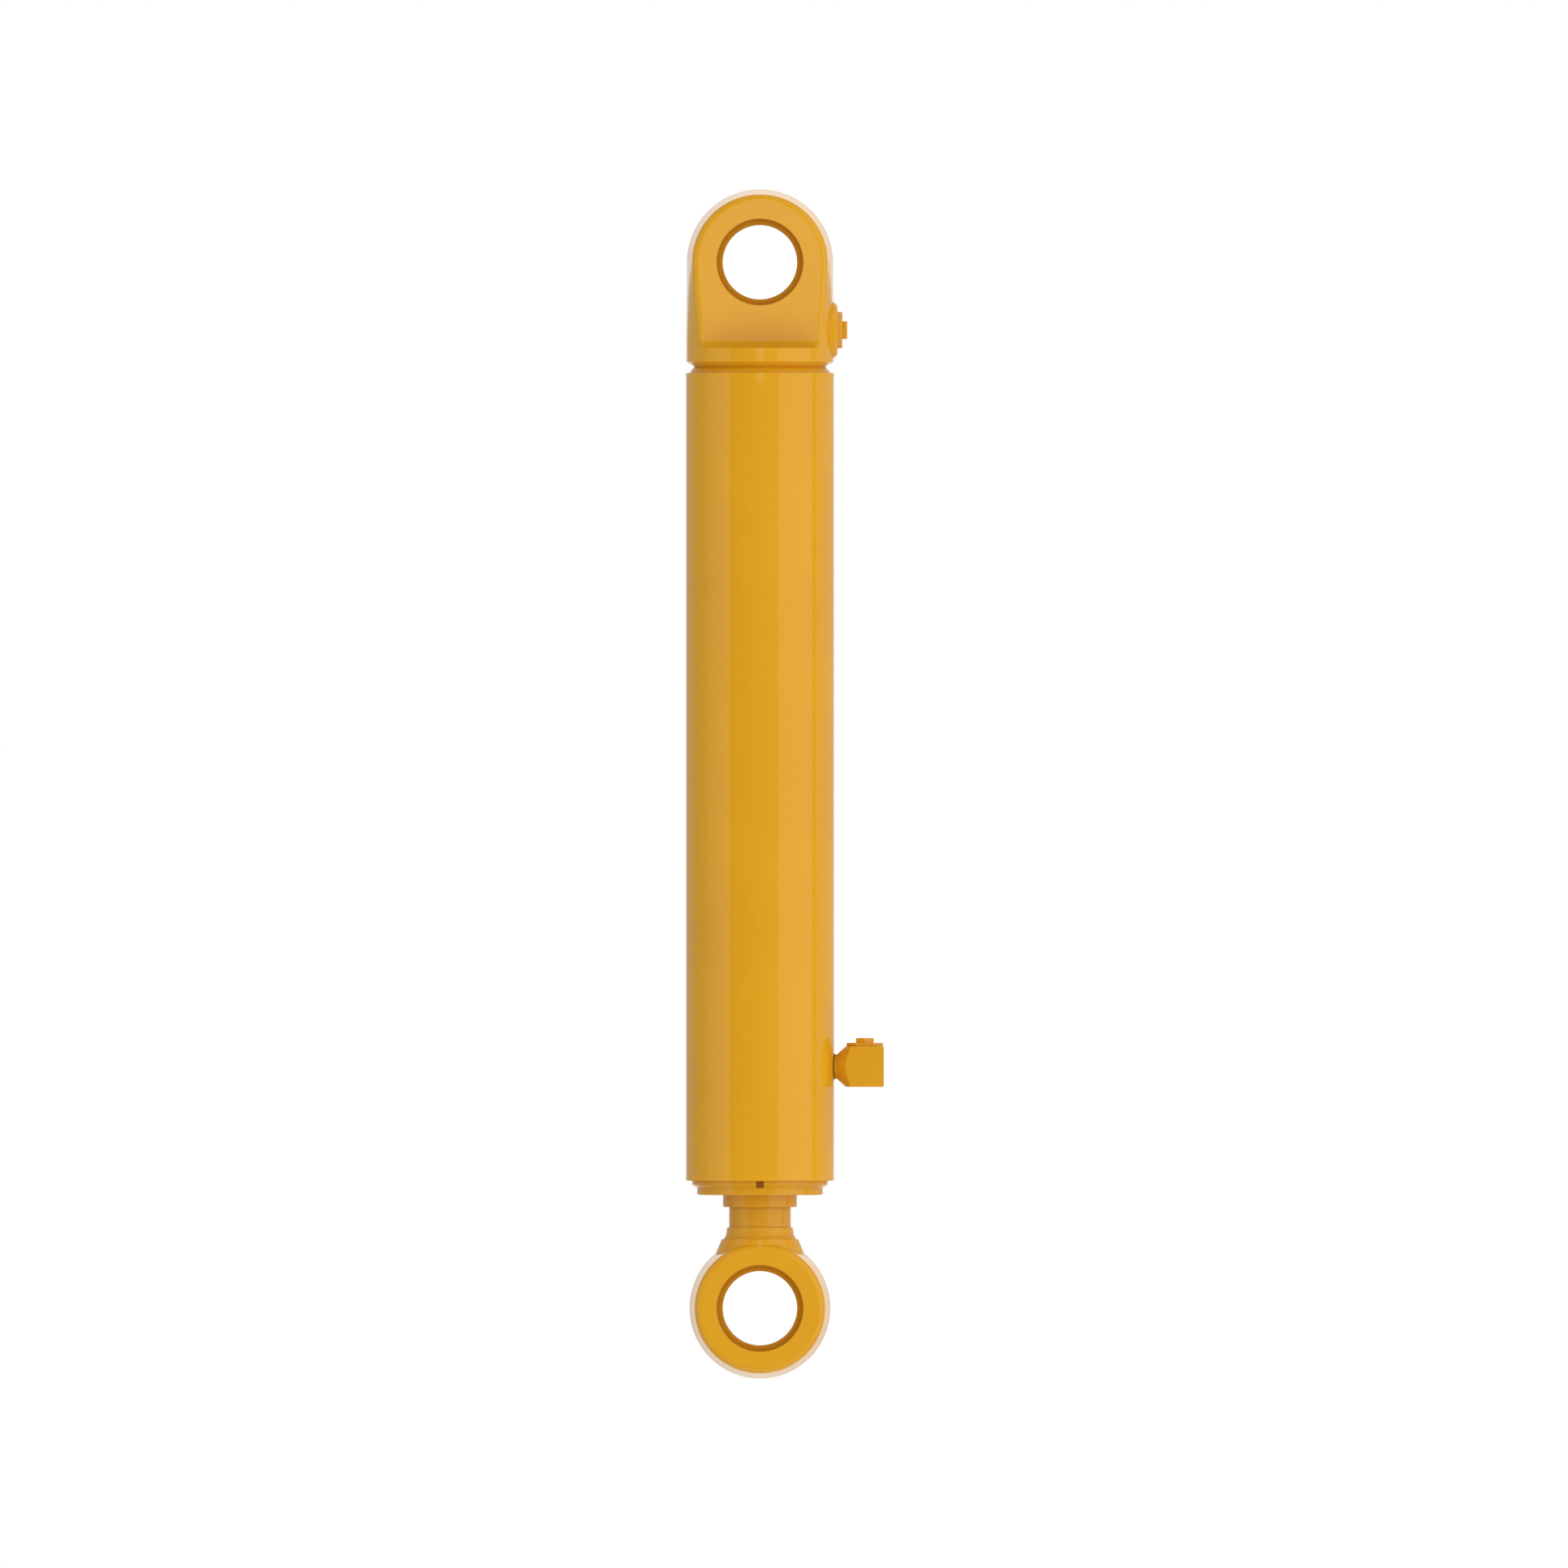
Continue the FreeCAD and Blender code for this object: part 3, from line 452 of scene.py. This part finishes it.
def port_bead():
    """The fillet between the elbow's neck and the tube, which follows the tube's curve."""
    rows, ripples = 9, 36

    def section(i, a):
        def on_tube(rho):
            return Vector((math.sqrt(0.06 ** 2 - (rho * math.cos(a)) ** 2), rho * math.cos(a), Z_ROD_PORT + rho * math.sin(a)))

        toe = on_tube(0.0103 + 0.0001 * noise.noise(Vector((3 * math.cos(a), 3 * math.sin(a), 2.0))))
        top = Vector((0.0614, 0.0095 * math.cos(a), Z_ROD_PORT + 0.0095 * math.sin(a)))
        out = Vector((0.55, 0.83 * math.cos(a), 0.83 * math.sin(a)))
        pts = []
        for k in range(rows):
            s = k / (rows - 1)
            arch = 1 - (2 * s - 1) ** 2
            pts.append(toe.lerp(top, s) + out * (0.00008 * arch + 0.00008 * min(1.0, 3 * arch) * ripple(s, a, ripples, 7.7)))
        return [tuple(p) for p in pts + [on_tube(0.0095)]]

    bead = swept_ring("rod_port_weld_bead", section, ripples * 8)
    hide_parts("rod_port_weld")
    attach(bead, "barrel")
    return bead


BEADS.append(port_bead())
assign(BEADS, weld_m)
assign(BEADS[-1:], mat_weld("enamel_weld_port", toe=True))

# ------------------------------------------------------------------ camera
W, FRAME_M = 1932, 1.2641
cam_data = bpy.data.cameras.new("camera")
cam_data.sensor_width = 36.0
cam_data.lens = 1500.0
cam_data.clip_start = 1.0
cam_data.clip_end = 400.0
cam = bpy.data.objects.new("camera", cam_data)
cam.location = (0.01939, -FRAME_M * 1500.0 / 36.0, -0.4205)
cam.rotation_euler = (math.radians(90), 0, 0)
scene.collection.objects.link(cam)
scene.camera = cam

# ------------------------------------------------------------------ floor: the cylinder hangs clear of it at full reach
floor_z = -1.80
bm = bmesh.new()
bmesh.ops.create_circle(bm, cap_ends=True, cap_tris=False, segments=96, radius=0.70)
me = bpy.data.meshes.new("floor")
bm.to_mesh(me)
bm.free()
floor = bpy.data.objects.new("floor", me)
floor.location = (0, 0, floor_z)
scene.collection.objects.link(floor)
t = Tree("floor_pale")
t.set(Base_Color=t.mix(t.remap(t.noise(3.0, 2.0), 0.3, 0.7, 0.0, 1.0), (0.86, 0.86, 0.86), (0.90, 0.90, 0.90)), Roughness=0.7)
assign([floor], t.mat)

# ------------------------------------------------------------------ studio light: a bright tent, softer from the left
world = bpy.data.worlds.new("studio")
scene.world = world
world.use_nodes = True
nt = world.node_tree
nt.nodes.clear()
wo = nt.nodes.new("ShaderNodeOutputWorld")
seen = nt.nodes.new("ShaderNodeBackground")
seen.inputs[0].default_value = (1, 1, 1, 1)
tent = nt.nodes.new("ShaderNodeBackground")
mixer = nt.nodes.new("ShaderNodeMixShader")
path = nt.nodes.new("ShaderNodeLightPath")
nt.links.new(path.outputs["Is Camera Ray"], mixer.inputs[0])
nt.links.new(tent.outputs[0], mixer.inputs[1])
nt.links.new(seen.outputs[0], mixer.inputs[2])
nt.links.new(mixer.outputs[0], wo.inputs[0])
tc = nt.nodes.new("ShaderNodeTexCoord")
sep = nt.nodes.new("ShaderNodeSeparateXYZ")
nt.links.new(tc.outputs["Generated"], sep.inputs[0])


def wmath(op, a, b=None):
    m = nt.nodes.new("ShaderNodeMath")
    m.operation = op
    for k, v in enumerate((a, b)):
        if isinstance(v, bpy.types.NodeSocket):
            nt.links.new(v, m.inputs[k])
        elif v is not None:
            m.inputs[k].default_value = v
    return m.outputs[0]


def wramp(value, lo, hi, stops):
    """Brightness along value, as straight runs between (position, brightness) stops."""
    rng = nt.nodes.new("ShaderNodeMapRange")
    rng.inputs["From Min"].default_value = lo
    rng.inputs["From Max"].default_value = hi
    nt.links.new(value, rng.inputs["Value"])
    ramp = nt.nodes.new("ShaderNodeValToRGB")
    nt.links.new(rng.outputs[0], ramp.inputs[0])
    el = ramp.color_ramp.elements
    while len(el) < len(stops):
        el.new(0.5)
    for e, (p, v) in zip(el, stops):
        e.position = (p - lo) / (hi - lo)
        e.color = (v, v, v, 1)
    return ramp.outputs[0]


# Azimuth, in degrees: 0 is in front of the cylinder, + to its right, 180 behind it.
azimuth = wmath("MULTIPLY", wmath("ARCTAN2", sep.outputs[0], wmath("MULTIPLY", sep.outputs[1], -1.0)), 180 / math.pi)
DOME, DOME_RIGHT, DOME_FRONT = 0.575, 0.25, 0.50
PANELS = [(-180, 1.24), (-166, 1.12), (-157, 0.50), (-125, 0.46), (-112, 0.36), (-90, 0.36), (-86, 0.62), (-56, 0.74),
          (-50, 0.84), (-47, 0.16), (-10, 0.12), (27, 0.14), (30, 0.80), (60, 0.86), (87, 0.86), (90, 0.14), (97, 0.14),
          (100, 0.50), (125, 0.50), (157, 0.50), (166, 1.08), (180, 1.24)]
LEVELS = [(-1.0, 0.55), (-0.75, 0.60), (-0.40, 0.84), (-0.12, 0.84), (-0.04, 0.97), (0.0, 1.0), (0.40, 0.96), (0.75, 0.62), (1.0, 0.60)]
round_the_part = wramp(azimuth, -180, 180, PANELS)
up_and_down = wramp(sep.outputs[2], -1, 1, LEVELS)
mul = nt.nodes.new("ShaderNodeMix")
mul.data_type = "RGBA"
mul.blend_type = "MULTIPLY"
mul.inputs[0].default_value = 1.0
nt.links.new(round_the_part, mul.inputs[6])
nt.links.new(up_and_down, mul.inputs[7])
# What the surfaces are lit by is smoother than what they mirror: an even dome, brighter from the front right.
front = wmath("MAXIMUM", wmath("MULTIPLY", sep.outputs[1], -1.0), wmath("MULTIPLY", sep.outputs[1], 0.5))
bias = wmath("ADD", wmath("MULTIPLY", sep.outputs[0], DOME_RIGHT), wmath("MULTIPLY", front, DOME_FRONT))
dome = wmath("ADD", bias, DOME)
pick = nt.nodes.new("ShaderNodeMix")
pick.data_type = "RGBA"
nt.links.new(path.outputs["Is Glossy Ray"], pick.inputs[0])
nt.links.new(dome, pick.inputs[6])
nt.links.new(mul.outputs[2], pick.inputs[7])
nt.links.new(pick.outputs[2], tent.inputs[0])
tent.inputs[1].default_value = 1.0


def area(name, loc, aim, size, size_y, power, colour=(1, 1, 1)):
    d = bpy.data.lights.new(name, "AREA")
    d.shape = "RECTANGLE"
    d.size, d.size_y, d.energy, d.color = size, size_y, power, colour
    o = bpy.data.objects.new(name, d)
    o.location = loc
    o.rotation_euler = (Vector(aim) - Vector(loc)).to_track_quat("-Z", "Y").to_euler()
    scene.collection.objects.link(o)
    return o


# A small panel in front of the cap end: the soft stripe at the top of the tube
panel = area("front_panel", (0.012, -1.0, 0.22), (0.012, 0.0, 0.22), 0.20, 0.62, 1.0)
panel.visible_camera = False
panel.visible_diffuse = False
panel.data.energy = 0.9 * math.pi * 0.20 * 0.62

scene.view_settings.view_transform = "Standard"
scene.view_settings.look = "None"
scene.view_settings.exposure = 0.0
scene.view_settings.gamma = 1.0
